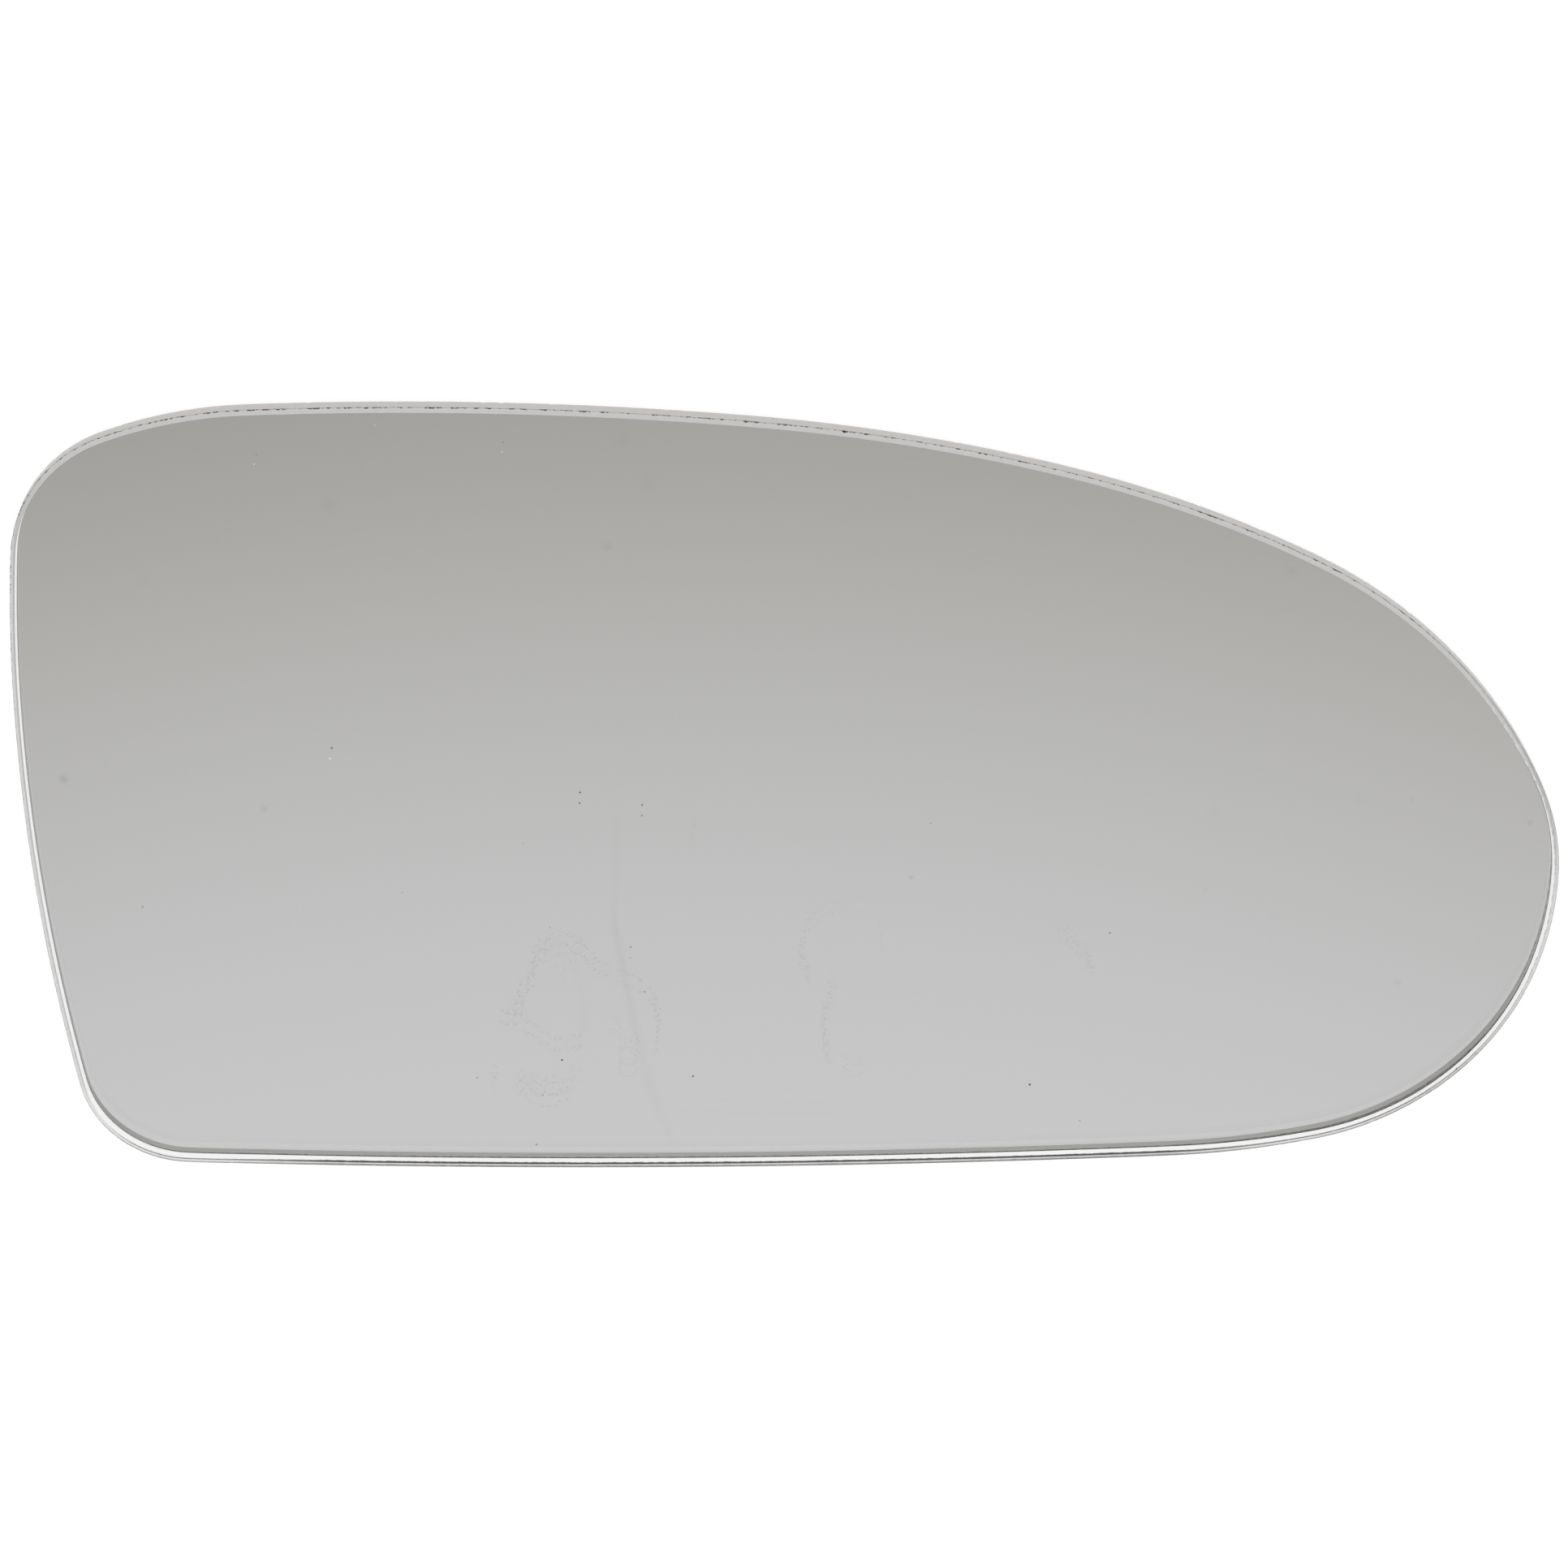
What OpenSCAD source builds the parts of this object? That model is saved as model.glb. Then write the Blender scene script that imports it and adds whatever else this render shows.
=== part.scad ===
// Glass of a car door mirror: one flat sheet cut to the mirror's outline, silvered on its back,
// with the sharp edges of both faces ground off. X runs along the sheet, Y from its bottom edge
// to its top edge and Z out of the face that is looked at. The sheet lies on its silvered back.
// The outline is a closed run of round arcs, each tangent to the next, taken clockwise from the
// highest point. Angles are those of the outward normal, in degrees from +X.

/* [Sheet] */
// Overall length of the sheet
sheet_l = 175; // [170:0.5:180]
// Overall height of the sheet
sheet_h = 95.5; // [92:0.5:98]
// Thickness of the glass
sheet_t = 2.3; // [1.8:0.1:3.2]

/* [Ground edges] */
// Width of the bevel ground along the front face
front_bevel_w = 0.56; // [0.3:0.02:1]
// Depth of the bevel ground along the front face
front_bevel_d = 0.3; // [0.1:0.02:0.6]
// Width of the bevel ground along the silvered back, where it takes the silver off
back_bevel_w = 0.62; // [0.3:0.02:1]
// Depth of the bevel ground along the silvered back
back_bevel_d = 0.3; // [0.1:0.02:0.6]

/* [Top edge] */
// Place of the highest point along the length, from the middle
crown_x = -44.9; // [-49:0.1:-41]
// Radius round the highest point
crown_r = 440; // [400:5:480]
// Turn of that arc on the way to the top left corner
crown_left_turn = 2; // [1.4:0.1:2.6]
// Turn of that arc on the way to the tip
crown_right_turn = 5.4; // [4.8:0.1:6]
// Radius of the slope beyond the crown
slope_r = 208; // [190:1:225]
// Turn of the slope
slope_turn = 9.5; // [8.5:0.1:10.5]
// Radius where the top edge starts to fall
fall_r = 140; // [130:1:150]
// Radius of the long shoulder above the tip
shoulder_r = 59; // [54:1:64]

/* [Tip] */
// Height of the outermost point of the tip, from the middle
tip_y = -10.4; // [-12:0.1:-8]
// Radius of the tip above that point
tip_top_r = 27.5; // [22:0.5:33]
// Radius of the tip below that point
tip_low_r = 39; // [36:0.5:44]
// Radius of the bottom corner under the tip
tip_corner_r = 33; // [31:0.5:35]
// Radius that leads from that corner into the bottom edge
tip_lead_r = 98; // [80:1:115]

/* [Bottom edge] */
// Place of the lowest point along the length, from the middle
bottom_x = -14.8; // [-18:0.1:-12]
// Radius of the bottom edge
bottom_r = 1470; // [1300:10:1700]
// Turn of the bottom edge on the way to the tip
bottom_turn = 2.3; // [1.9:0.1:2.7]

/* [Wide end] */
// Radius of the bottom corner of the wide end
low_corner_r = 12.7; // [8:0.1:16]
// Height of the outermost point of the wide end, from the middle
end_y = 12.6; // [9:0.2:17]
// Radius of the wide end below that point
end_low_r = 260; // [220:5:300]
// Radius of the wide end above that point
end_top_r = 200; // [160:5:240]
// Radius of the top corner of the wide end
top_corner_r = 16.2; // [13:0.1:18]
// Radius that leads from that corner into the crown
top_lead_r = 50; // [42:1:60]

/* [Hidden] */

// Unit vector at an angle
function ray(angle) = [cos(angle), sin(angle)];

// Centre of an arc of radius r that leaves an arc round c, of radius from_r, at an angle
function next_centre(c, from_r, r, angle) = c + (from_r - r) * ray(angle);

// The angle moved by whole turns into the quarter that ends at the given angle
function in_quarter(angle, quarter) = angle - 360 * round((angle - quarter - 45) / 360);

// The arc of radius r that is tangent to two arcs, one round a and one round b: its centre, its
// radius, and the angles at which it starts and ends
function between(a, a_r, r, b, b_r, quarter) =
    let (
        a_arm = a_r - r,
        b_arm = r - b_r,
        gap = b - a,
        turn = acos((gap * gap - a_arm * a_arm - b_arm * b_arm) / (2 * a_arm * b_arm)),
        end = in_quarter(
            atan2(gap.y, gap.x) - atan2(a_arm * sin(turn), a_arm * cos(turn) + b_arm), quarter)
    )
    [next_centre(a, a_r, r, end + turn), r, end + turn, end];

// Places of the outermost point on each side
top_y = sheet_h / 2;
tip_x = sheet_l / 2;
bottom_y = -sheet_h / 2;
end_x = -sheet_l / 2;

// Top edge, from the highest point to the tip
crown_c = [crown_x, top_y - crown_r];
slope_start = 90 - crown_right_turn;
fall_start = slope_start - slope_turn;
slope_c = next_centre(crown_c, crown_r, slope_r, slope_start);
fall_c = next_centre(slope_c, slope_r, fall_r, fall_start);
tip_top_c = [tip_x - tip_top_r, tip_y];
shoulder = between(fall_c, fall_r, shoulder_r, tip_top_c, tip_top_r, 0);
top_arcs = [
    [crown_c, crown_r, 90, slope_start],
    [slope_c, slope_r, slope_start, fall_start],
    [fall_c, fall_r, fall_start, shoulder[2]],
    shoulder,
    [tip_top_c, tip_top_r, shoulder[3], 0]];

// From the tip to the lowest point
tip_low_c = [tip_x - tip_low_r, tip_y];
bottom_c = [bottom_x, bottom_y + bottom_r];
bottom_start = bottom_turn - 90;
tip_lead_c = next_centre(bottom_c, bottom_r, tip_lead_r, bottom_start);
tip_corner = between(tip_low_c, tip_low_r, tip_corner_r, tip_lead_c, tip_lead_r, -90);
tip_arcs = [
    [tip_low_c, tip_low_r, 0, tip_corner[2]],
    tip_corner,
    [tip_lead_c, tip_lead_r, tip_corner[3], bottom_start],
    [bottom_c, bottom_r, bottom_start, -90]];

// From the lowest point to the outermost point of the wide end
end_low_c = [end_x + end_low_r, end_y];
low_corner = between(bottom_c, bottom_r, low_corner_r, end_low_c, end_low_r, -180);
low_arcs = [
    [bottom_c, bottom_r, -90, low_corner[2]],
    low_corner,
    [end_low_c, end_low_r, low_corner[3], -180]];

// From there back to the highest point
end_top_c = [end_x + end_top_r, end_y];
crown_start = crown_left_turn - 270;
top_lead_c = next_centre(crown_c, crown_r, top_lead_r, crown_start);
top_corner = between(end_top_c, end_top_r, top_corner_r, top_lead_c, top_lead_r, -270);
end_arcs = [
    [end_top_c, end_top_r, -180, top_corner[2]],
    top_corner,
    [top_lead_c, top_lead_r, top_corner[3], crown_start],
    [crown_c, crown_r, crown_start, -270]];

outline_arcs = [each top_arcs, each tip_arcs, each low_arcs, each end_arcs];

// How far the straight sides that draw an arc may cut inside it
arc_tolerance = 0.006;

// Number of straight sides that draw an arc
function sides(arc) = ceil((arc[2] - arc[3]) / (2 * acos(1 - arc_tolerance / arc[1])));

// The outline moved inwards by an inset, so that it stays parallel to the edge
function outline(inset) = [
    for (arc = outline_arcs)
        for (side = [0 : sides(arc) - 1])
            arc[0] + (arc[1] - inset) * ray(arc[2] + (arc[3] - arc[2]) * side / sides(arc))];

// A slice of the sheet between two heights, as far inside the outline as the inset says
module slice(inset, bottom, top)
    translate([0, 0, bottom])
        linear_extrude(top - bottom)
            polygon(outline(inset));

// The full outline with a bevel down to the silvered back and one up to the front face
module mirror_glass()
    color("#b9bcbd")
        hull() {
            slice(back_bevel_w, 0, sheet_t / 2);
            slice(0, back_bevel_d, sheet_t - front_bevel_d);
            slice(front_bevel_w, sheet_t / 2, sheet_t);
        }

mirror_glass();
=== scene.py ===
"""Looks of a car door mirror glass: a clear sheet with ground edges over its silvered back."""

from math import cos, radians, sin

import bpy
import numpy as np
from mathutils import Matrix, Vector


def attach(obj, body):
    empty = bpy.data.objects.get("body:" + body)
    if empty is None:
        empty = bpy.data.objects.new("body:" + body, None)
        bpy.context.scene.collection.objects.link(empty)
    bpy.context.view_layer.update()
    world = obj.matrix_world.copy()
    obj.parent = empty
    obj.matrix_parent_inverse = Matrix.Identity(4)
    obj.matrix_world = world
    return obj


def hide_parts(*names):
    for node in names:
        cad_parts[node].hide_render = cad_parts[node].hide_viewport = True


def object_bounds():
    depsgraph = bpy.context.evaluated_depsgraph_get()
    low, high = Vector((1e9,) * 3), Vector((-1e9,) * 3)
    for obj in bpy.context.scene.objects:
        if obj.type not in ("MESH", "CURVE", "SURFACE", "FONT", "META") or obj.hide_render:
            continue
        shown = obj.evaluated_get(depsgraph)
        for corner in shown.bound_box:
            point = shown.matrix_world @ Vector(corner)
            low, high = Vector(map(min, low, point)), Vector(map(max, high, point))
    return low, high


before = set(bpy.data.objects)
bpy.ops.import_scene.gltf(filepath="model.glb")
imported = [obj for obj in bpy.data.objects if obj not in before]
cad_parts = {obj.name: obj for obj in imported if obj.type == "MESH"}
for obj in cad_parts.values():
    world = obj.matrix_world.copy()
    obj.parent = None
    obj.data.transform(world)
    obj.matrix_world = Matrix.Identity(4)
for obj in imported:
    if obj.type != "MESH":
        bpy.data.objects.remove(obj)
cad_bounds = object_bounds()

MM = 0.001

# Kinds of node that are often used
MATHS = "ShaderNodeMath"
VECTORS = "ShaderNodeVectorMath"
RANGE = "ShaderNodeMapRange"
NOISE = "ShaderNodeTexNoise"
MIX = "ShaderNodeMix"
SHINE = "ShaderNodeBsdfPrincipled"


# Sizes, in millimetres

SHEET = {"thickness": 2.3, "front bevel width": 0.56, "front bevel depth": 0.3,
         "back bevel width": 0.62, "back bevel depth": 0.3}

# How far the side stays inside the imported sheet's side
SIDE_CLEARANCE = 0.005

# The silver's face lies a little above the glass's back face, so that no air shows between them
BACK_CLEARANCE = 0.015
SILVER_THICKNESS = 0.03

# Width of the strip along the rim of the silver whose points know how far from the rim they are
SILVER_RIM_STRIP = 0.5

# How far apart the points of the outline are, and how close two points are when they are joined
OUTLINE_STEP = 0.125
WELD = 0.001

# Where the back bevel is narrower: the middle of that stretch of the edge, how far it reaches,
# and how much narrower it is there
NARROW_PLACE = (74.0, -38.0)
NARROW_REACH = 32.0
NARROWING = 0.28

# The distance from an arris that a point inside a face is given
FAR_INSIDE = 1000.0


# Marks that the sheet has picked up. Places and sizes are in millimetres

# Specks of dust on the front face: place, radius, how dark
DARK_DUST = ((-24.26, -0.22, 0.12, 0.95), (-17.22, -1.84, 0.12, 0.7), (-27.98, -17.4, 0.11, 0.25),
             (-18.76, -20.0, 0.14, 0.35), (-29.26, -39.38, 0.1, 0.4))
PALE_DUST = ((-52.27, 5.51, 0.17, 0.8), (-59.26, 41.22, 0.12, 0.5), (-32.04, 42.58, 0.11, 0.6),
             (-45.85, 45.74, 0.09, 0.35))

# Pits in the silver: place, radius, how dark
PITS = ((-74.56, -13.8, 0.1, 0.4), (-36.81, -36.29, 0.11, 0.35), (-30.09, -45.22, 0.11, 0.55),
        (-26.9, -34.0, 0.16, 0.5), (-11.69, -36.24, 0.13, 0.75), (27.6, -37.6, 0.14, 1.0),
        (33.56, -42.41, 0.11, 0.3), (36.42, -17.79, 0.14, 0.3), (15.6, -3.67, 0.09, 0.25),
        (-30.82, -5.98, 0.11, 0.15), (-44.79, -12.11, 0.1, 0.2), (-17.19, -25.11, 0.13, 0.3))

# Dull spots of the silver: place, radius, how dark
DULL_SPOTS = ((-82.6, 2.4, 0.9, 0.1275), (-60.2, -1.4, 0.8, 0.0765), (-51.3, 35.8, 1.4, 0.034),
              (-20.8, 30.7, 1.1, 0.0476), (-18.8, 43.5, 1.3, 0.034), (-16.2, 38.2, 1.3, 0.0204),
              (55.5, 27.3, 1.0, 0.051), (70.4, -1.0, 0.6, 0.0425), (64.5, -0.9, 1.0, 0.0204),
              (84.0, -4.0, 0.6, 0.0765), (48.0, -2.3, 0.8, 0.0306), (55.4, -15.6, 1.0, 0.0204),
              (13.5, -10.5, 0.5, 0.102), (-72.4, 26.6, 1.1, 0.0238), (47.2, -12.2, 0.6, 0.034),
              (69.9, -24.4, 0.8, 0.051))

# Streaks that a cloth left: where each starts, passes and ends, its half width, how dark
STREAKS = (
    ((-20.0, -1.4), (-20.3, -9.1), (-20.7, -15.3), 0.8, 0.09),
    ((-20.7, -15.3), (-19.4, -23.4), (-17.9, -32.2), 0.8, 0.24),
    ((-17.9, -32.2), (-16.5, -38.3), (-14.1, -44.8), 0.8, 0.15),
    ((-25.0, -22.6), (-24.3, -26.3), (-24.2, -31.1), 0.6, 0.07),
    ((-13.9, -40.0), (-4.0, -40.4), (6.0, -40.6), 0.3, 0.12),
    ((-20.2, -34.0), (-19.3, -33.1), (-18.4, -34.0), 0.25, 0.35),
    ((-18.4, -34.0), (-19.2, -35.5), (-20.2, -34.6), 0.25, 0.35),
)

# Dried smears, given in the same way
SMEARS = (
    ((-32.8, -29.1), (-31.8, -25.8), (-30.1, -23.3), 0.9, 0.9),
    ((-33.3, -28.6), (-32.1, -28.2), (-31.2, -26.3), 0.8, 0.9),
    ((-30.1, -23.3), (-29.4, -20.2), (-26.8, -18.0), 0.7, 0.9),
    ((-26.8, -18.0), (-24.7, -19.2), (-22.9, -21.6), 0.6, 1.0),
    ((-24.9, -19.8), (-22.2, -21.7), (-19.6, -23.4), 0.5, 0.7),
    ((-22.9, -21.6), (-20.8, -22.8), (-18.9, -23.6), 0.5, 0.8),
    ((-18.9, -23.6), (-16.4, -25.7), (-15.7, -29.0), 0.45, 1.0),
    ((-15.7, -29.0), (-15.7, -30.6), (-16.0, -32.4), 0.4, 0.8),
    ((-28.8, -20.5), (-27.0, -19.5), (-25.3, -20.6), 0.4, 0.6),
    ((-28.5, -21.8), (-26.8, -21.0), (-25.0, -22.3), 0.4, 0.4),
    ((-27.3, -23.3), (-25.9, -22.9), (-24.1, -24.2), 0.5, 0.3),
    ((-32.4, -28.6), (-30.3, -30.0), (-28.1, -31.6), 0.5, 0.6),
    ((-28.1, -31.8), (-26.1, -31.8), (-24.2, -30.8), 0.6, 0.8),
    ((-21.5, -29.0), (-19.3, -31.1), (-17.1, -33.6), 0.4, 0.7),
    ((-20.4, -31.6), (-18.4, -32.5), (-16.7, -34.3), 0.4, 0.6),
    ((-31.4, -37.2), (-29.0, -37.8), (-25.4, -37.0), 0.6, 1.0),
    ((-31.1, -38.2), (-28.8, -39.3), (-25.6, -37.8), 0.4, 0.8),
    ((-31.3, -36.4), (-28.8, -37.1), (-25.2, -35.9), 0.4, 0.5),
    ((-34.6, -35.3), (-34.9, -36.4), (-35.1, -38.0), 0.4, 0.7),
    ((-11.3, -2.6), (-11.5, -4.5), (-11.8, -7.1), 0.5, 0.3),
    ((8.6, -14.1), (4.2, -14.3), (1.6, -16.5), 0.5, 0.25),
    ((1.6, -16.5), (1.0, -19.9), (1.9, -23.6), 0.5, 0.75),
    ((4.5, -24.4), (3.6, -28.6), (4.2, -34.1), 0.8, 0.6),
    ((5.9, -34.1), (6.9, -35.4), (8.4, -35.0), 0.7, 0.5),
    ((10.7, -15.8), (10.1, -17.6), (10.0, -19.3), 0.5, 0.3),
    ((13.6, -25.7), (14.3, -26.2), (14.9, -26.5), 0.5, 0.4),
    ((31.0, -17.8), (32.9, -19.5), (34.3, -22.9), 0.8, 0.55),
)

# Chips knocked out of the side: place, height, radius, how dark
SIDE_CHIPS = ((-2.2, 46.1, 0.55, 0.5, 0.75), (-71.6, 45.9, 2.0, 0.3, 1.0),
              (-50.9, 47.8, 2.0, 0.3, 1.0), (-63.1, 47.3, 2.0, 0.2, 0.9),
              (-59.7, 47.4, 2.0, 0.2, 0.9), (5.5, 44.7, 2.0, 0.3, 1.0),
              (-5.3, 46.0, 2.0, 0.3, 0.9), (-14.4, -47.7, 0.4, 0.4, 0.5),
              (77.3, -35.6, 0.4, 0.35, 0.7), (1.0, -47.4, 0.3, 0.15, 0.7),
              (5.0, -47.4, 0.1, 0.12, 0.9))

# How many times longer than high those chips are
CHIP_FLATNESS = 1.8


# Nodes

def add(tree, kind, *values, out=None, **named):
    """Adds a node and gives back one of its outputs, the first in use or the one named. Values
    fill its sockets in order. A name in small letters is one of its settings, any other a socket."""
    node = tree.nodes.new(kind)
    for name, value in named.items():
        if name[0].islower():
            setattr(node, name, value)
    used = [socket for socket in node.inputs if socket.enabled]
    filled = list(zip(used, values))
    for name, value in named.items():
        if not name[0].islower():
            filled.append((next(s for s in used if s.name == name.replace("_", " ")), value))
    for socket, value in filled:
        if isinstance(value, bpy.types.NodeSocket):
            tree.links.new(value, socket)
        else:
            socket.default_value = value
    ready = [s for s in node.outputs if s.enabled and out in (None, s.name)]
    return ready[0] if ready else node


def linear(hex_colour):
    """An sRGB hex colour as linear numbers with an alpha of 1."""
    parts = [int(hex_colour[i:i + 2], 16) / 255 for i in (1, 3, 5)]
    return (*[p / 12.92 if p <= 0.04045 else ((p + 0.055) / 1.055) ** 2.4 for p in parts], 1.0)


def material(name):
    """An empty node material and its tree."""
    made = bpy.data.materials.new(name)
    made.use_nodes = True
    made.node_tree.nodes.clear()
    return made, made.node_tree


# Outline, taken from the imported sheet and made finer

def cad_outline():
    """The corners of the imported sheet's side, in millimetres, anticlockwise."""
    points = np.array([v.co[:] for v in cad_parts["mirror_glass"].data.vertices]) / MM
    side = points[np.abs(points[:, 2] - SHEET["back bevel depth"]) < 0.01][:, :2]
    side = np.unique(np.round(side, 4), axis=0)
    return side[np.argsort(np.arctan2(side[:, 1], side[:, 0]))]


def smooth_loop(points, step):
    """A closed curve through the points, as points a step apart. It runs on from one stretch to
    the next with an even bend, as a thin batten held at the points does."""
    loop = np.vstack([points, points[:1]])
    along = np.r_[0, np.cumsum(np.hypot(*np.diff(loop, axis=0).T))]
    gap = np.diff(along)
    count = len(gap)
    rows = np.zeros((count, count))
    right = np.zeros((count, 2))
    slope = np.diff(loop, axis=0) / gap[:, None]

    # The directions at the points that make the bend the same on both sides of each
    for i in range(count):
        before = gap[i - 1]
        after = gap[i]
        rows[i, i - 1] = after
        rows[i, i] = 2 * (before + after)
        rows[i, (i + 1) % count] = before
        right[i] = 3 * (after * slope[i - 1] + before * slope[i])
    tangent = np.linalg.solve(rows, right)

    # Each place on the curve, from the ends of its stretch and the directions there
    places = np.linspace(0, along[-1], int(along[-1] / step), endpoint=False)
    at = np.clip(np.searchsorted(along, places, side="right") - 1, 0, count - 1)
    t = ((places - along[at]) / gap[at])[:, None]
    length = gap[at][:, None]
    start, end = loop[at], loop[at + 1]
    leave, arrive = tangent[at], tangent[(at + 1) % count]
    return ((2 * t ** 3 - 3 * t ** 2 + 1) * start + (t ** 3 - 2 * t ** 2 + t) * length * leave
            + (3 * t ** 2 - 2 * t ** 3) * end + (t ** 3 - t ** 2) * length * arrive)


def outline_object(name, points):
    """The outline as a closed loop of edges, to be swept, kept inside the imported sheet's box."""
    half = np.array(cad_bounds[1][:2]) / MM
    points = np.clip(points, -half, half)
    mesh = bpy.data.meshes.new(name)
    count = len(points)
    mesh.from_pydata([(x * MM, y * MM, 0) for x, y in points],
                     [(i, (i + 1) % count) for i in range(count)], [])
    piece = bpy.data.objects.new(name, mesh)
    bpy.context.scene.collection.objects.link(piece)
    return piece


# Geometry nodes that sweep an edge profile round the outline and close both faces

def edge_band(tree, given, path, first, last, points, finish, free):
    """A band swept round the outline between two corners of the edge. Each of its points knows
    its distance from the nearer arris, in millimetres. An arris free of chips doesn't count."""
    ends = []
    for corner in (first, last):
        outward = add(tree, MATHS, given[corner + " inset"], -1.0, operation="MULTIPLY")
        down = add(tree, MATHS, given[corner + " height"], -1.0, operation="MULTIPLY")
        ends.append(add(tree, "ShaderNodeCombineXYZ", outward, down))
    line = add(tree, "GeometryNodeCurvePrimitiveLine", *ends)
    fine = add(tree, "GeometryNodeResampleCurve", Curve=line, Count=points)
    from_first = add(tree, "GeometryNodeSplineParameter", out="Length")
    whole = add(tree, "GeometryNodeSplineLength", out="Length")
    from_last = add(tree, MATHS, whole, from_first, operation="SUBTRACT")
    if free == "first":
        near = from_last
    elif free == "last":
        near = from_first
    else:
        near = add(tree, MATHS, from_first, from_last, operation="MINIMUM")
    near = add(tree, MATHS, near, MM, operation="DIVIDE")
    marked = add(tree, "GeometryNodeStoreNamedAttribute", Geometry=fine, Name="arris_mm",
                 Value=near, data_type="FLOAT", domain="POINT")
    swept = add(tree, "GeometryNodeCurveToMesh", Curve=path, Profile_Curve=marked)
    outward = add(tree, "GeometryNodeFlipFaces", swept)
    return add(tree, "GeometryNodeSetMaterial", Geometry=outward, Material=finish)


def closed_face(tree, given, path, corner, down, finish):
    """The flat face that closes the sheet at a corner of the edge, and looks down or up."""
    normal = add(tree, "GeometryNodeInputNormal")
    inset = add(tree, MATHS, given[corner + " inset"], -1.0, operation="MULTIPLY")
    inward = add(tree, VECTORS, normal, Scale=inset, operation="SCALE")
    moved = add(tree, "GeometryNodeSetPosition", Geometry=path, Offset=inward)
    shape = add(tree, "GeometryNodeFillCurve", moved, mode="NGONS")
    rise = add(tree, "ShaderNodeCombineXYZ", Z=given[corner + " height"])
    shape = add(tree, "GeometryNodeSetPosition", Geometry=shape, Offset=rise)
    if down:
        shape = add(tree, "GeometryNodeFlipFaces", shape)
    shape = add(tree, "GeometryNodeStoreNamedAttribute", Geometry=shape, Name="arris_mm",
                Value=FAR_INSIDE, data_type="FLOAT", domain="POINT")
    return add(tree, "GeometryNodeSetMaterial", Geometry=shape, Material=finish)


def narrow_back_bevel(tree, given, shape, where, normal):
    """Narrows the back bevel round the bottom corner of the tip: what lies below the bevel's top
    moves outwards, most at the back face. Points inside the flat faces stay where they are."""
    plan = add(tree, VECTORS, where, (1, 1, 0), operation="MULTIPLY")
    middle = (NARROW_PLACE[0] * MM, NARROW_PLACE[1] * MM, 0)
    far = add(tree, VECTORS, plan, middle, operation="DISTANCE")
    gain = add(tree, RANGE, far, NARROW_REACH * MM, 0.0, 0.0, given["Narrowing"],
               interpolation_type="SMOOTHSTEP")
    rise = add(tree, "ShaderNodeSeparateXYZ", where, out="Z")
    share = add(tree, RANGE, rise, SHEET["back bevel depth"] * MM, BACK_CLEARANCE * MM, 0.0, 1.0)
    gain = add(tree, MATHS, gain, share, operation="MULTIPLY")
    level = add(tree, VECTORS, normal, (1, 1, 0), operation="MULTIPLY")
    lean = add(tree, VECTORS, level, operation="LENGTH", out="Value")
    lean = add(tree, RANGE, lean, 0.05, 0.1, 0.0, 1.0)
    gain = add(tree, MATHS, gain, lean, operation="MULTIPLY")
    level = add(tree, VECTORS, level, operation="NORMALIZE")
    level = add(tree, VECTORS, level, Scale=gain, operation="SCALE")
    return add(tree, "GeometryNodeSetPosition", Geometry=shape, Offset=level)


def chip_arrises(tree, given, shape, where, normal):
    """Knocks chips about 0.7 mm long out of the arrises, deepest along the top edge."""
    grain = add(tree, NOISE, where, W=given["Seed"], Scale=1 / (0.7 * MM), Detail=3.0,
                Roughness=0.65, noise_dimensions="4D")
    above = add(tree, MATHS, grain, given["Chip share"], operation="SUBTRACT")
    bite = add(tree, MATHS, above, 6.0, operation="MULTIPLY", use_clamp=True)
    near = add(tree, "GeometryNodeInputNamedAttribute", "arris_mm", data_type="FLOAT")
    reach = add(tree, RANGE, near, 0.0, given["Chip width"], given["Chip depth"], 0.0)
    bite = add(tree, MATHS, bite, reach, operation="MULTIPLY")
    across = add(tree, "ShaderNodeSeparateXYZ", where, out="Y")
    upper = add(tree, RANGE, across, -10 * MM, 25 * MM, 0.3, 1.0)
    bite = add(tree, MATHS, bite, upper, operation="MULTIPLY")
    bite = add(tree, MATHS, bite, -1.0, operation="MULTIPLY")
    push = add(tree, VECTORS, normal, Scale=bite, operation="SCALE")
    return add(tree, "GeometryNodeSetPosition", Geometry=shape, Offset=push)


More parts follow.
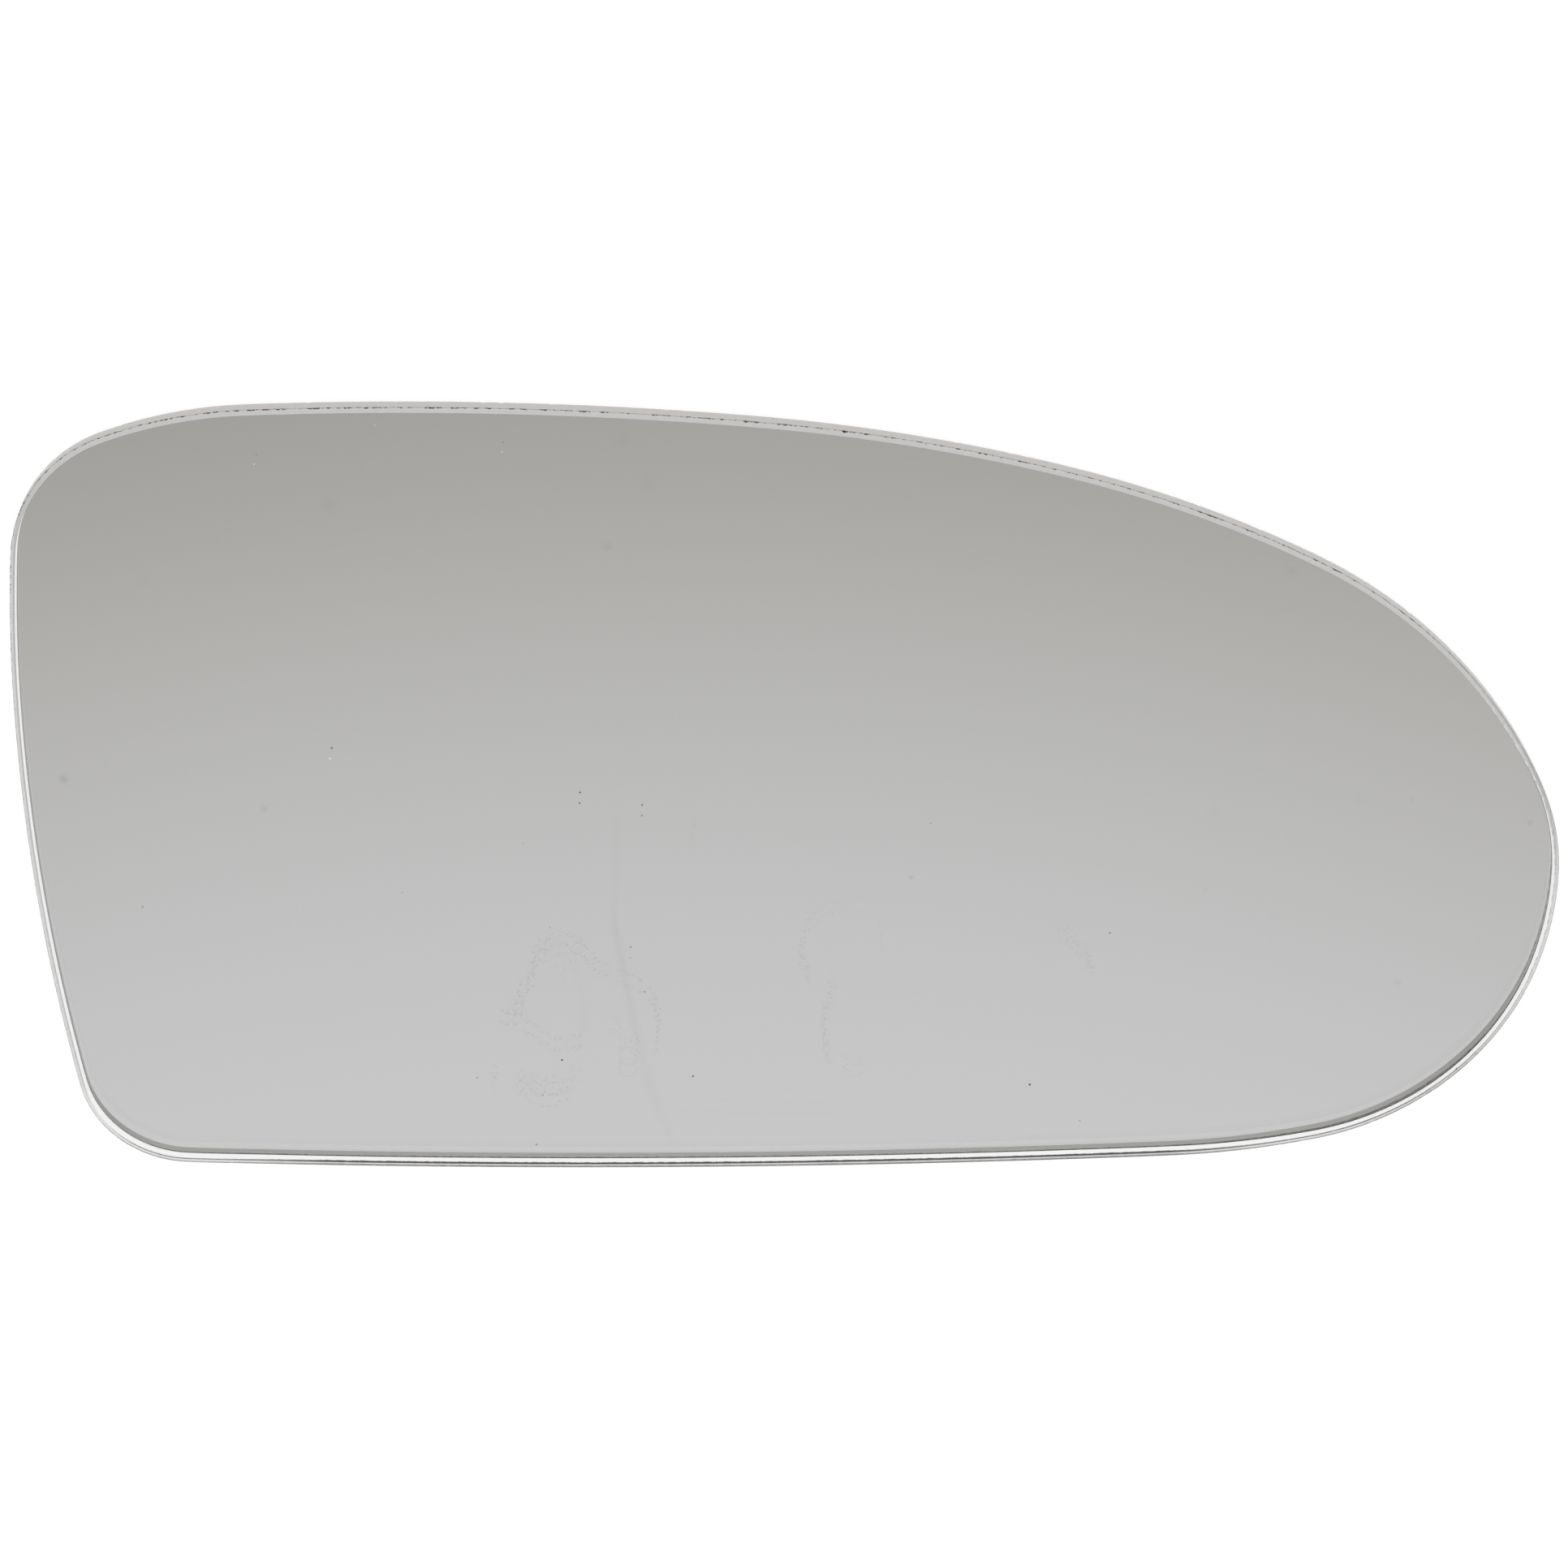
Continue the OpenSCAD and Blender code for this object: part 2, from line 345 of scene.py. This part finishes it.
def profile_tree(name, bands, faces):
    """Bands run along the profile from the back to the front, between corners that are named
    inputs of inset and height. Each has its first and last corner, the number of its points, its
    material, and the end that is free of chips, if any. Faces close the sheet at a corner: they
    say whether they look down, and their material. The chip width is in millimetres, as the
    distance from an arris is."""
    tree = bpy.data.node_groups.new(name, "GeometryNodeTree")
    sockets = tree.interface
    sockets.new_socket("Geometry", in_out="INPUT", socket_type="NodeSocketGeometry")
    sockets.new_socket("Geometry", in_out="OUTPUT", socket_type="NodeSocketGeometry")
    corners = list(dict.fromkeys(corner for band in bands for corner in band[:2]))
    inputs = [corner + part for corner in corners for part in (" inset", " height")]
    for wanted in inputs + ["Narrowing", "Chip depth", "Chip width", "Chip share", "Seed"]:
        sockets.new_socket(wanted, in_out="INPUT", socket_type="NodeSocketFloat")
    given = tree.nodes.new("NodeGroupInput").outputs
    ring = add(tree, "GeometryNodeMeshToCurve", given["Geometry"])
    path = add(tree, "GeometryNodeSetCurveNormal", ring, mode="Z_UP")
    joined = tree.nodes.new("GeometryNodeJoinGeometry")
    for band in bands:
        tree.links.new(edge_band(tree, given, path, *band), joined.inputs[0])
    for face in faces:
        tree.links.new(closed_face(tree, given, path, *face), joined.inputs[0])
    shape = add(tree, "GeometryNodeMergeByDistance", Geometry=joined.outputs[0],
                Distance=WELD * MM)
    where = add(tree, "GeometryNodeInputPosition")
    normal = add(tree, "GeometryNodeInputNormal")
    shape = narrow_back_bevel(tree, given, shape, where, normal)
    shape = chip_arrises(tree, given, shape, where, normal)
    flat = add(tree, "GeometryNodeSetShadeSmooth", Geometry=shape, Shade_Smooth=False)
    real = add(tree, "GeometryNodeRealizeInstances", Geometry=flat)
    add(tree, "NodeGroupOutput", real)
    return tree


def sweep(piece, tree, sizes):
    """Runs a profile tree on an outline with these sizes and leaves a plain closed mesh."""
    modifier = piece.modifiers.new("profile", "NODES")
    modifier.node_group = tree
    for item in tree.interface.items_tree:
        if item.item_type == "SOCKET" and item.in_out == "INPUT" and item.name in sizes:
            modifier[item.identifier] = float(sizes[item.name])
    view = bpy.context.evaluated_depsgraph_get()
    mesh = bpy.data.meshes.new_from_object(piece.evaluated_get(view), depsgraph=view)
    piece.modifiers.remove(modifier)
    old = piece.data
    piece.data = mesh
    bpy.data.meshes.remove(old)
    return piece


# Marks, as a share from 0 to 1 at each place of a material

def plan_place(tree):
    """Where a point lies on the sheet as seen from above, in millimetres."""
    place = add(tree, "ShaderNodeTexCoord", out="Object")
    return add(tree, VECTORS, place, (1 / MM, 1 / MM, 0), operation="MULTIPLY")


def round_marks(tree, place, marks, core):
    """How dark round marks make a place. The core is the share of the radius that is full."""
    total = 0.0
    for x, y, radius, dark in marks:
        far = add(tree, VECTORS, place, (x, y, 0), operation="DISTANCE")
        share = add(tree, RANGE, far, radius, radius * core, 0.0, dark,
                    interpolation_type="SMOOTHSTEP")
        total = add(tree, MATHS, total, share, operation="MAXIMUM")
    return total


def smear_marks(tree, place, marks):
    """How dark smears make a place. Each is an arc through three points, cut off by a circle."""
    total = 0.0
    for start, middle, end, width, dark in marks:
        a, b, c = (Vector(point) for point in (start, middle, end))
        cross = 2 * ((b - a).cross(c - a))
        ab, ac = (b - a).length_squared, (c - a).length_squared
        shift = ((c - a).y * ab - (b - a).y * ac, (b - a).x * ac - (c - a).x * ab)
        centre = a + Vector(shift) / cross
        far = add(tree, VECTORS, place, (*centre, 0), operation="DISTANCE")
        off = add(tree, MATHS, far, (a - centre).length, operation="SUBTRACT")
        off = add(tree, MATHS, off, operation="ABSOLUTE")
        share = add(tree, RANGE, off, width, 0.0, 0.0, dark, interpolation_type="SMOOTHSTEP")
        reach = max((a - b).length, (c - b).length)
        along = add(tree, VECTORS, place, (*middle, 0), operation="DISTANCE")
        fade = add(tree, RANGE, along, reach * 1.1, reach * 0.85, 0.0, 1.0,
                   interpolation_type="SMOOTHSTEP")
        share = add(tree, MATHS, share, fade, operation="MULTIPLY")
        total = add(tree, MATHS, total, share, operation="MAXIMUM")
    return total


# Materials

GLASS_IOR = 1.52


def float_glass(name, marked):
    """Clear float glass with the flat, bright skin that it left the bath of tin with. The front
    face has specks of dust, which the silver mirrors, and the streaks of a cloth and dried smears
    in specks, which dim it a little."""
    made, tree = material(name)
    if marked:
        place = plan_place(tree)

        # The smears waver and break up into specks of about 0.4 mm, and the streaks stay smooth
        sway = add(tree, NOISE, place, Scale=0.9, Detail=3.0, out="Color")
        sway = add(tree, VECTORS, sway, (0.5, 0.5, 0.5), operation="SUBTRACT")
        swayed = add(tree, VECTORS, sway, (1.6, 1.6, 0), place, operation="MULTIPLY_ADD")
        grease = add(tree, NOISE, place, Scale=2.4, Detail=4.0, Roughness=0.7)
        broken = add(tree, RANGE, grease, 0.5, 0.63, 0.0, 1.7)
        smears = add(tree, MATHS, smear_marks(tree, swayed, SMEARS), broken, operation="MULTIPLY")
        smears = add(tree, MATHS, smears, smear_marks(tree, place, STREAKS), operation="MAXIMUM")
        dimmed = add(tree, MIX, smears, A=linear("#ffffff"), B=linear("#e9e9e7"), data_type="RGBA")

        # Dust is matt, and the denser a speck is, the less light it lets through
        pale = round_marks(tree, place, PALE_DUST, 0.6)
        dusty = add(tree, MIX, pale, A=dimmed, B=linear("#f4f1ea"), data_type="RGBA")
        dark = round_marks(tree, place, DARK_DUST, 0.6)
        colour = add(tree, MIX, dark, A=dusty, B=linear("#1f1d1b"), data_type="RGBA")
        cover = add(tree, MATHS, pale, dark, operation="MAXIMUM")
        clear = add(tree, MATHS, 1.0, cover, operation="SUBTRACT")
        rough = add(tree, RANGE, cover, 0.0, 0.5, 0.0, 0.7)
    else:
        colour, clear, rough = linear("#ffffff"), 1.0, 0.0
    glass = add(tree, SHINE, Base_Color=colour, Roughness=rough, IOR=GLASS_IOR,
                Transmission_Weight=clear)
    add(tree, "ShaderNodeOutputMaterial", Surface=glass)
    return made


def dirt_and_shade_thread(tree, place, height, damp):
    """How dark the thread just above the arris over the silver is, widest and darkest where damp
    stood. It is partly caught dirt and partly painted shade of the side as seen from inside the
    glass."""
    middle = SHEET["back bevel depth"] + 0.03
    off = add(tree, MATHS, height, middle, operation="SUBTRACT")
    off = add(tree, MATHS, off, operation="ABSOLUTE")
    ragged = add(tree, NOISE, place, Scale=1 / (0.5 * MM), Detail=3.0, Roughness=0.6)
    ragged = add(tree, RANGE, ragged, 0.3, 0.7, 0.85, 1.2)
    reach = add(tree, RANGE, damp, 0.0, 1.0, 0.05, 0.1)
    reach = add(tree, MATHS, reach, ragged, operation="MULTIPLY")
    off = add(tree, MATHS, off, reach, operation="DIVIDE")
    depth = add(tree, RANGE, damp, 0.0, 1.0, 0.15, 0.88)
    return add(tree, RANGE, off, 1.1, 0.7, 0.0, depth, interpolation_type="SMOOTHSTEP")


def front_arris_line(tree, across, height, damp, broken):
    """How dark the arris under the front bevel is: a fine broken line, darker where damp stood,
    with dark chips along the top."""
    off = add(tree, MATHS, height, SHEET["thickness"] - SHEET["front bevel depth"],
              operation="SUBTRACT")
    off = add(tree, MATHS, off, operation="ABSOLUTE")
    fine = add(tree, RANGE, broken, 0.35, 0.6, 0.02, 0.06)
    fine = add(tree, MATHS, off, fine, operation="DIVIDE")
    worn = add(tree, RANGE, damp, 0.0, 0.6, 0.5, 0.8)
    fine = add(tree, RANGE, fine, 1.2, 0.4, 0.0, worn, interpolation_type="SMOOTHSTEP")
    chips = add(tree, RANGE, broken, 0.47, 0.6, 0.0, 0.085)
    upper = add(tree, RANGE, across, 10 * MM, 28 * MM, 0.3, 1.0)
    chips = add(tree, MATHS, chips, upper, operation="MULTIPLY")
    chips = add(tree, MATHS, chips, off, operation="SUBTRACT")
    chips = add(tree, RANGE, chips, -0.005, 0.03, 0.0, 0.92, interpolation_type="SMOOTHSTEP")
    return add(tree, MATHS, fine, chips, operation="MAXIMUM")


def painted_tip_highlight(tree, along, across, height, broken):
    """How bright the painted highlight is along the front arris of the tip: white dots painted where
    fine chips would catch the light.
    """
    below = add(tree, MATHS, SHEET["thickness"], height, operation="SUBTRACT")
    painted_glint = add(tree, RANGE, below, 0.1, 0.05, 0.0, 1.0)
    for way, start, full in ((across, 16, 9), (across, -28, -20), (along, 70, 76)):
        part = add(tree, RANGE, way, start * MM, full * MM, 0.0, 1.0)
        painted_glint = add(tree, MATHS, painted_glint, part, operation="MULTIPLY")
    painted_sparks = add(tree, RANGE, broken, 0.46, 0.56, 0.0, 1.0)
    return add(tree, MATHS, painted_glint, painted_sparks, operation="MULTIPLY")


def larger_side_chips(tree, place):
    """How dark the larger chips of the side are, which are ragged and longer than high."""
    dark = 0.0
    spot = add(tree, VECTORS, place, (1 / MM, 1 / MM, CHIP_FLATNESS / MM), operation="MULTIPLY")
    wobble = add(tree, NOISE, place, Scale=1 / (0.25 * MM), Detail=2.0)
    wobble = add(tree, RANGE, wobble, 0.3, 0.7, 0.7, 1.3)
    for x, y, z, radius, depth in SIDE_CHIPS:
        far = add(tree, VECTORS, spot, (x, y, CHIP_FLATNESS * z), operation="DISTANCE")
        far = add(tree, MATHS, far, wobble, operation="MULTIPLY")
        chip = add(tree, RANGE, far, radius, radius * 0.6, 0.0, depth,
                   interpolation_type="SMOOTHSTEP")
        dark = add(tree, MATHS, dark, chip, operation="MAXIMUM")
    return dark


def ground_glass(name, low_tone, high_tone, clearness, roughness):
    """Float glass ground with a diamond wheel: a matt light grey that lets soft light in, with lines
    along the edge, drawn coarser than the wheel's grit so that they show, and dark chips and caught
    dirt at both arrises of the side. The dark thread over the silver is partly painted shade, and
    the front arris of the tip has a painted highlight."""
    made, tree = material(name)
    place = add(tree, "ShaderNodeTexCoord", out="Object")
    height = add(tree, "ShaderNodeSeparateXYZ", place, out="Z")
    height = add(tree, MATHS, height, MM, operation="DIVIDE")
    along = add(tree, "ShaderNodeSeparateXYZ", place, out="X")
    across = add(tree, "ShaderNodeSeparateXYZ", place, out="Y")
    lines = add(tree, VECTORS, place, (1, 1, 5), operation="MULTIPLY")
    scratches = add(tree, NOISE, lines, Scale=1 / (0.6 * MM), Detail=3.0, Roughness=0.6)
    shade = add(tree, RANGE, scratches, 0.3, 0.7, 0.0, 1.0)
    tone = add(tree, MIX, shade, A=linear(low_tone), B=linear(high_tone), data_type="RGBA")
    grit = add(tree, NOISE, lines, Scale=1 / (0.15 * MM), Detail=2.0, Roughness=0.6)
    bump = add(tree, "ShaderNodeBump", Strength=0.2, Distance=0.02 * MM, Height=grit)

    # Damp stood along the bottom edge, short of both ends
    damp = add(tree, RANGE, across, -20 * MM, -42 * MM, 0.0, 1.0)
    for end, inner in ((-70, -54), (60, 44)):
        ended = add(tree, RANGE, along, end * MM, inner * MM, 0.0, 1.0)
        damp = add(tree, MATHS, damp, ended, operation="MULTIPLY")

    broken = add(tree, NOISE, place, Scale=1 / (0.55 * MM), Detail=4.0, Roughness=0.7)
    # The thread over the silver is partly caught dirt and partly painted shade of the side seen from
    # inside
    dirt_and_shade = dirt_and_shade_thread(tree, place, height, damp)
    for more in (front_arris_line(tree, across, height, damp, broken),
                 larger_side_chips(tree, place)):
        dirt_and_shade = add(tree, MATHS, dirt_and_shade, more, operation="MAXIMUM")
    # Painted highlight: the tone goes white at the dots along the tip's front arris, and lets less
    # light through there
    painted_glint = painted_tip_highlight(tree, along, across, height, broken)
    tone = add(tree, MIX, painted_glint, A=tone, B=linear("#ffffff"), data_type="RGBA")
    colour = add(tree, MIX, dirt_and_shade, A=tone, B=linear("#2e2825"), data_type="RGBA")
    opaque = add(tree, MATHS, dirt_and_shade, painted_glint, operation="MAXIMUM")
    clear = add(tree, RANGE, opaque, 0.0, 1.0, clearness, 0.0)
    glass = add(tree, SHINE, Base_Color=colour, Roughness=roughness, IOR=GLASS_IOR, Normal=bump,
                Transmission_Weight=clear)
    add(tree, "ShaderNodeOutputMaterial", Surface=glass)
    return made


def tarnished_rim(tree, place):
    """How black the silver has gone along its rim: a ragged line, slimmer where the back bevel is
    narrower, and darkest along the bottom, where damp got in."""
    inside = add(tree, "ShaderNodeAttribute", attribute_name="arris_mm", out="Fac")
    ragged = add(tree, NOISE, place, Scale=2.5, Detail=3.0, Roughness=0.6)
    reach = add(tree, RANGE, ragged, 0.3, 0.7, 0.05, 0.13)
    far = add(tree, VECTORS, place, (*NARROW_PLACE, 0), operation="DISTANCE")
    slim = add(tree, RANGE, far, 0.0, NARROW_REACH, 0.3, 1.0)
    reach = add(tree, MATHS, reach, slim, operation="MULTIPLY")
    rim = add(tree, MATHS, reach, inside, operation="SUBTRACT")
    rim = add(tree, RANGE, rim, -0.02, 0.03, 0.0, 1.0, interpolation_type="SMOOTHSTEP")
    along = add(tree, "ShaderNodeSeparateXYZ", place, out="X")
    across = add(tree, "ShaderNodeSeparateXYZ", place, out="Y")
    damp = add(tree, RANGE, across, -18.0, -32.0, 0.25, 0.95)
    ended = add(tree, RANGE, along, -76.0, -60.0, 0.3, 1.0)
    damp = add(tree, MATHS, damp, ended, operation="MULTIPLY")
    return add(tree, MATHS, rim, damp, operation="MULTIPLY")


def silver_coat():
    """Silver laid on the back of the glass: a bright neutral mirror with a few pits and dull
    spots, gone black in a ragged line round its rim, where the wheel cut it and damp got in."""
    made, tree = material("mirror_silver")
    place = plan_place(tree)
    pits = round_marks(tree, place, PITS, 0.6)
    black = add(tree, MATHS, tarnished_rim(tree, place), pits, operation="MAXIMUM")
    dull = round_marks(tree, place, DULL_SPOTS, 0.0)
    bright = add(tree, MIX, dull, A=linear("#f3f3f3"), B=linear("#000000"), data_type="RGBA")
    colour = add(tree, MIX, black, A=bright, B=linear("#35312e"), data_type="RGBA")
    metal = add(tree, MATHS, 1.0, black, operation="SUBTRACT")
    rough = add(tree, RANGE, black, 0.0, 0.5, 0.0, 0.6)
    silver = add(tree, SHINE, Base_Color=colour, Metallic=metal, Roughness=rough)
    add(tree, "ShaderNodeOutputMaterial", Surface=silver)
    return made


def back_paint():
    """Grey mirror backing paint, curtain coated and baked: satin, with a fine orange peel and
    faint runs along the line that it went down."""
    made, tree = material("grey_backing_paint")
    place = add(tree, "ShaderNodeTexCoord", out="Object")
    runs = add(tree, VECTORS, place, (1, 12, 1), operation="MULTIPLY")
    streaks = add(tree, NOISE, runs, Scale=1 / (40 * MM), Detail=4.0, Roughness=0.6)
    shade = add(tree, RANGE, streaks, 0.35, 0.65, 0.0, 1.0)
    colour = add(tree, MIX, shade, A=linear("#808487"), B=linear("#868a8d"), data_type="RGBA")
    peel = add(tree, NOISE, place, Scale=1 / (0.9 * MM), Detail=2.0, Roughness=0.4)
    bump = add(tree, "ShaderNodeBump", Strength=0.3, Distance=0.03 * MM, Height=peel)
    patches = add(tree, NOISE, place, Scale=1 / (9 * MM), Detail=3.0)
    rough = add(tree, RANGE, patches, 0.3, 0.7, 0.4, 0.52)
    paint = add(tree, SHINE, Base_Color=colour, Roughness=rough, Normal=bump)
    add(tree, "ShaderNodeOutputMaterial", Surface=paint)
    return made


# Glass sheet

outline = smooth_loop(cad_outline(), OUTLINE_STEP)

front_face = float_glass("float_glass_front", marked=True)
back_face = float_glass("float_glass_back", marked=False)
ground_side = ground_glass("ground_glass_side", "#f4f1f1", "#fbf9f9", 0.3, 0.45)
ground_front = ground_glass("ground_glass_front_bevel", "#e9e9e9", "#f1f1f0", 0.88, 0.3)
ground_back = ground_glass("ground_glass_back_bevel", "#fafafa", "#ffffff", 0.95, 0.4)

glass_tree = profile_tree(
    "ground_edge_sheet",
    [("back arris", "side bottom", 6, ground_back, "first"),
     ("side bottom", "side top", 10, ground_side, None),
     ("side top", "front arris", 6, ground_front, "last")],
    [("back arris", True, back_face),
     ("front arris", False, front_face)])

glass = sweep(outline_object("glass_sheet", outline), glass_tree, {
    "back arris inset": SHEET["back bevel width"] * MM,
    "back arris height": BACK_CLEARANCE * MM,
    "side bottom inset": SIDE_CLEARANCE * MM,
    "side bottom height": SHEET["back bevel depth"] * MM,
    "side top inset": SIDE_CLEARANCE * MM,
    "side top height": (SHEET["thickness"] - SHEET["front bevel depth"]) * MM,
    "front arris inset": SHEET["front bevel width"] * MM,
    "front arris height": SHEET["thickness"] * MM,
    "Narrowing": NARROWING * MM,
    "Chip depth": 0.1 * MM,
    "Chip width": 0.2,
    "Chip share": 0.57,
    "Seed": 3.0,
})


# Silver and the paint that covers its back

paint = back_paint()
mirror = silver_coat()

silver_tree = profile_tree(
    "silver_coat",
    [("paint rim", "silver rim", 2, paint, None),
     ("silver rim", "silver inner", 4, mirror, "last")],
    [("paint rim", True, paint),
     ("silver inner", False, mirror)])

silver = sweep(outline_object("silvering", outline), silver_tree, {
    "paint rim inset": SHEET["back bevel width"] * MM,
    "paint rim height": 0.0,
    "silver rim inset": SHEET["back bevel width"] * MM,
    "silver rim height": SILVER_THICKNESS * MM,
    "silver inner inset": (SHEET["back bevel width"] + SILVER_RIM_STRIP) * MM,
    "silver inner height": SILVER_THICKNESS * MM,
    "Narrowing": NARROWING * MM,
    "Chip depth": 0.0,
    "Chip width": 0.3,
    "Chip share": 0.5,
    "Seed": 8.0,
})

for piece in (glass, silver):
    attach(piece, "root")
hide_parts("mirror_glass")


# Floor, light and camera

def floor():
    """A plain white floor, a hair below the sheet, that keeps a faint shadow of it. It looks
    plain white in the silver and through the glass."""
    made, tree = material("white_studio_floor")
    pale = add(tree, "ShaderNodeBsdfDiffuse", linear("#ededed"))
    darker = add(tree, "ShaderNodeBsdfDiffuse", linear("#7f7f7f"))
    lift = add(tree, "ShaderNodeEmission", linear("#ffffff"), 0.86)
    white = add(tree, "ShaderNodeEmission", linear("#ffffff"), 1.0)
    seen = add(tree, "ShaderNodeLightPath", out="Is Camera Ray")
    mirrored = add(tree, "ShaderNodeLightPath", out="Is Glossy Ray")
    through = add(tree, "ShaderNodeLightPath", out="Is Transmission Ray")
    lifted = add(tree, "ShaderNodeAddShader", darker, lift)
    plain = add(tree, "ShaderNodeMixShader", seen, pale, lifted)
    clear = add(tree, MATHS, mirrored, through, operation="MAXIMUM")
    add(tree, "ShaderNodeOutputMaterial", add(tree, "ShaderNodeMixShader", clear, plain, white))
    half = 6.0
    drop = 0.02 * MM
    mesh = bpy.data.meshes.new("floor")
    mesh.from_pydata([(-half, -half, -drop), (half, -half, -drop), (half, half, -drop),
                      (-half, half, -drop)], [], [(0, 1, 2, 3)])
    mesh.materials.append(made)
    made_floor = bpy.data.objects.new("floor", mesh)
    bpy.context.scene.collection.objects.link(made_floor)


def set_curve(node, points):
    """Sets the points of a float curve node."""
    curve = node.mapping.curves[0]
    while len(curve.points) < len(points):
        curve.points.new(0.5, 0.5)
    for point, place in zip(curve.points, points):
        point.location = place
    node.mapping.update()


def tent_light(tree, way):
    """How bright the white tent is in a direction, by the direction's height."""
    height = add(tree, "ShaderNodeSeparateXYZ", way, out="Z")
    tent = add(tree, "ShaderNodeFloatCurve", 1.0, height)
    set_curve(tent.node, [(0, 0.97), (0.1, 0.95), (0.5, 0.65), (0.77, 0.415), (0.9, 0.38),
                          (0.95, 0.375), (0.975, 0.51), (1, 0.61)])
    return tent


def angle_from_glow(tree, way):
    """How many degrees a direction is from the middle of the window glow. The glow is a little
    taller than wide."""
    up, turn = radians(30), radians(-0.6)
    middle = (cos(up) * sin(turn), -cos(up) * cos(turn), sin(up))
    narrow = add(tree, VECTORS, way, (1.25, 1, 1), operation="MULTIPLY")
    narrow = add(tree, VECTORS, narrow, operation="NORMALIZE")
    facing = add(tree, VECTORS, narrow, middle, operation="DOT_PRODUCT")
    away = add(tree, MATHS, facing, operation="ARCCOSINE")
    return add(tree, MATHS, away, radians(1), operation="DIVIDE")


def studio_light():
    """A white tent, brightest at the level of the floor, dim high up and a little brighter right
    overhead, with a soft window glow above a shaded wall, and a softbox at its top."""
    world = bpy.data.worlds.new("studio")
    bpy.context.scene.world = world
    world.use_nodes = True
    tree = world.node_tree
    tree.nodes.clear()
    way = add(tree, "ShaderNodeTexCoord", out="Generated")
    away = angle_from_glow(tree, way)
    quarter = add(tree, MATHS, away, 90.0, operation="DIVIDE")
    glow = add(tree, "ShaderNodeFloatCurve", 1.0, quarter)
    fall = ((0, 0.3), (25, 0.275), (30.8, 0.254), (32.5, 0.235), (34.2, 0.195), (35.5, 0.158),
            (36.7, 0.118), (37.5, 0.088), (38.4, 0.055), (40, 0.015), (45, 0), (90, 0))
    set_curve(glow.node, [(angle / 90, strength) for angle, strength in fall])
    total = add(tree, MATHS, tent_light(tree, way), glow, operation="ADD")
    front = add(tree, "ShaderNodeSeparateXYZ", way, out="Y")
    wall = add(tree, RANGE, front, -0.643, -0.985, 1.0, 0.5, interpolation_type="SMOOTHSTEP")
    total = add(tree, MATHS, total, wall, operation="MULTIPLY")
    warmth = add(tree, RANGE, away, 33.0, 39.0, 0.0, 1.0, interpolation_type="SMOOTHSTEP")
    tint = add(tree, MIX, warmth, A=linear("#ffffff"), B=linear("#fffdf8"), data_type="RGBA")
    add(tree, "ShaderNodeOutputWorld", add(tree, "ShaderNodeBackground", tint, total))

    lamp = bpy.data.lights.new("overhead_softbox", "AREA")
    lamp.shape = "DISK"
    lamp.size = 1.6
    lamp.energy = 7.0
    softbox = bpy.data.objects.new("overhead_softbox", lamp)
    softbox.location = (0, 0, 1.4)
    softbox.visible_glossy = False
    softbox.visible_transmission = False
    bpy.context.scene.collection.objects.link(softbox)


def camera():
    """Looks down on the sheet from above its top edge, from 0.59 m off. Its angles and place were
    fitted to the photo."""
    tilt = radians(25.404)
    turn = radians(-0.593)
    distance = 590.16 * MM
    focal_pixels = 6400
    photo_pixels = 1932
    target = Vector((-1.071, 0.944, -0.020)) * MM
    back = Vector((sin(turn), sin(tilt) * cos(turn), cos(tilt) * cos(turn)))
    right = Vector((0, 1, 0)).cross(back).normalized()
    up = back.cross(right)
    data = bpy.data.cameras.new("camera")
    data.sensor_width = 36
    data.lens = focal_pixels / photo_pixels * data.sensor_width
    data.clip_start = 0.01
    made = bpy.data.objects.new("camera", data)
    turned = Matrix((right, up, back)).transposed().to_4x4()
    made.matrix_world = Matrix.Translation(target + distance * back) @ turned
    bpy.context.scene.collection.objects.link(made)
    bpy.context.scene.camera = made


floor()
studio_light()
camera()
bpy.context.scene.view_settings.view_transform = "Standard"
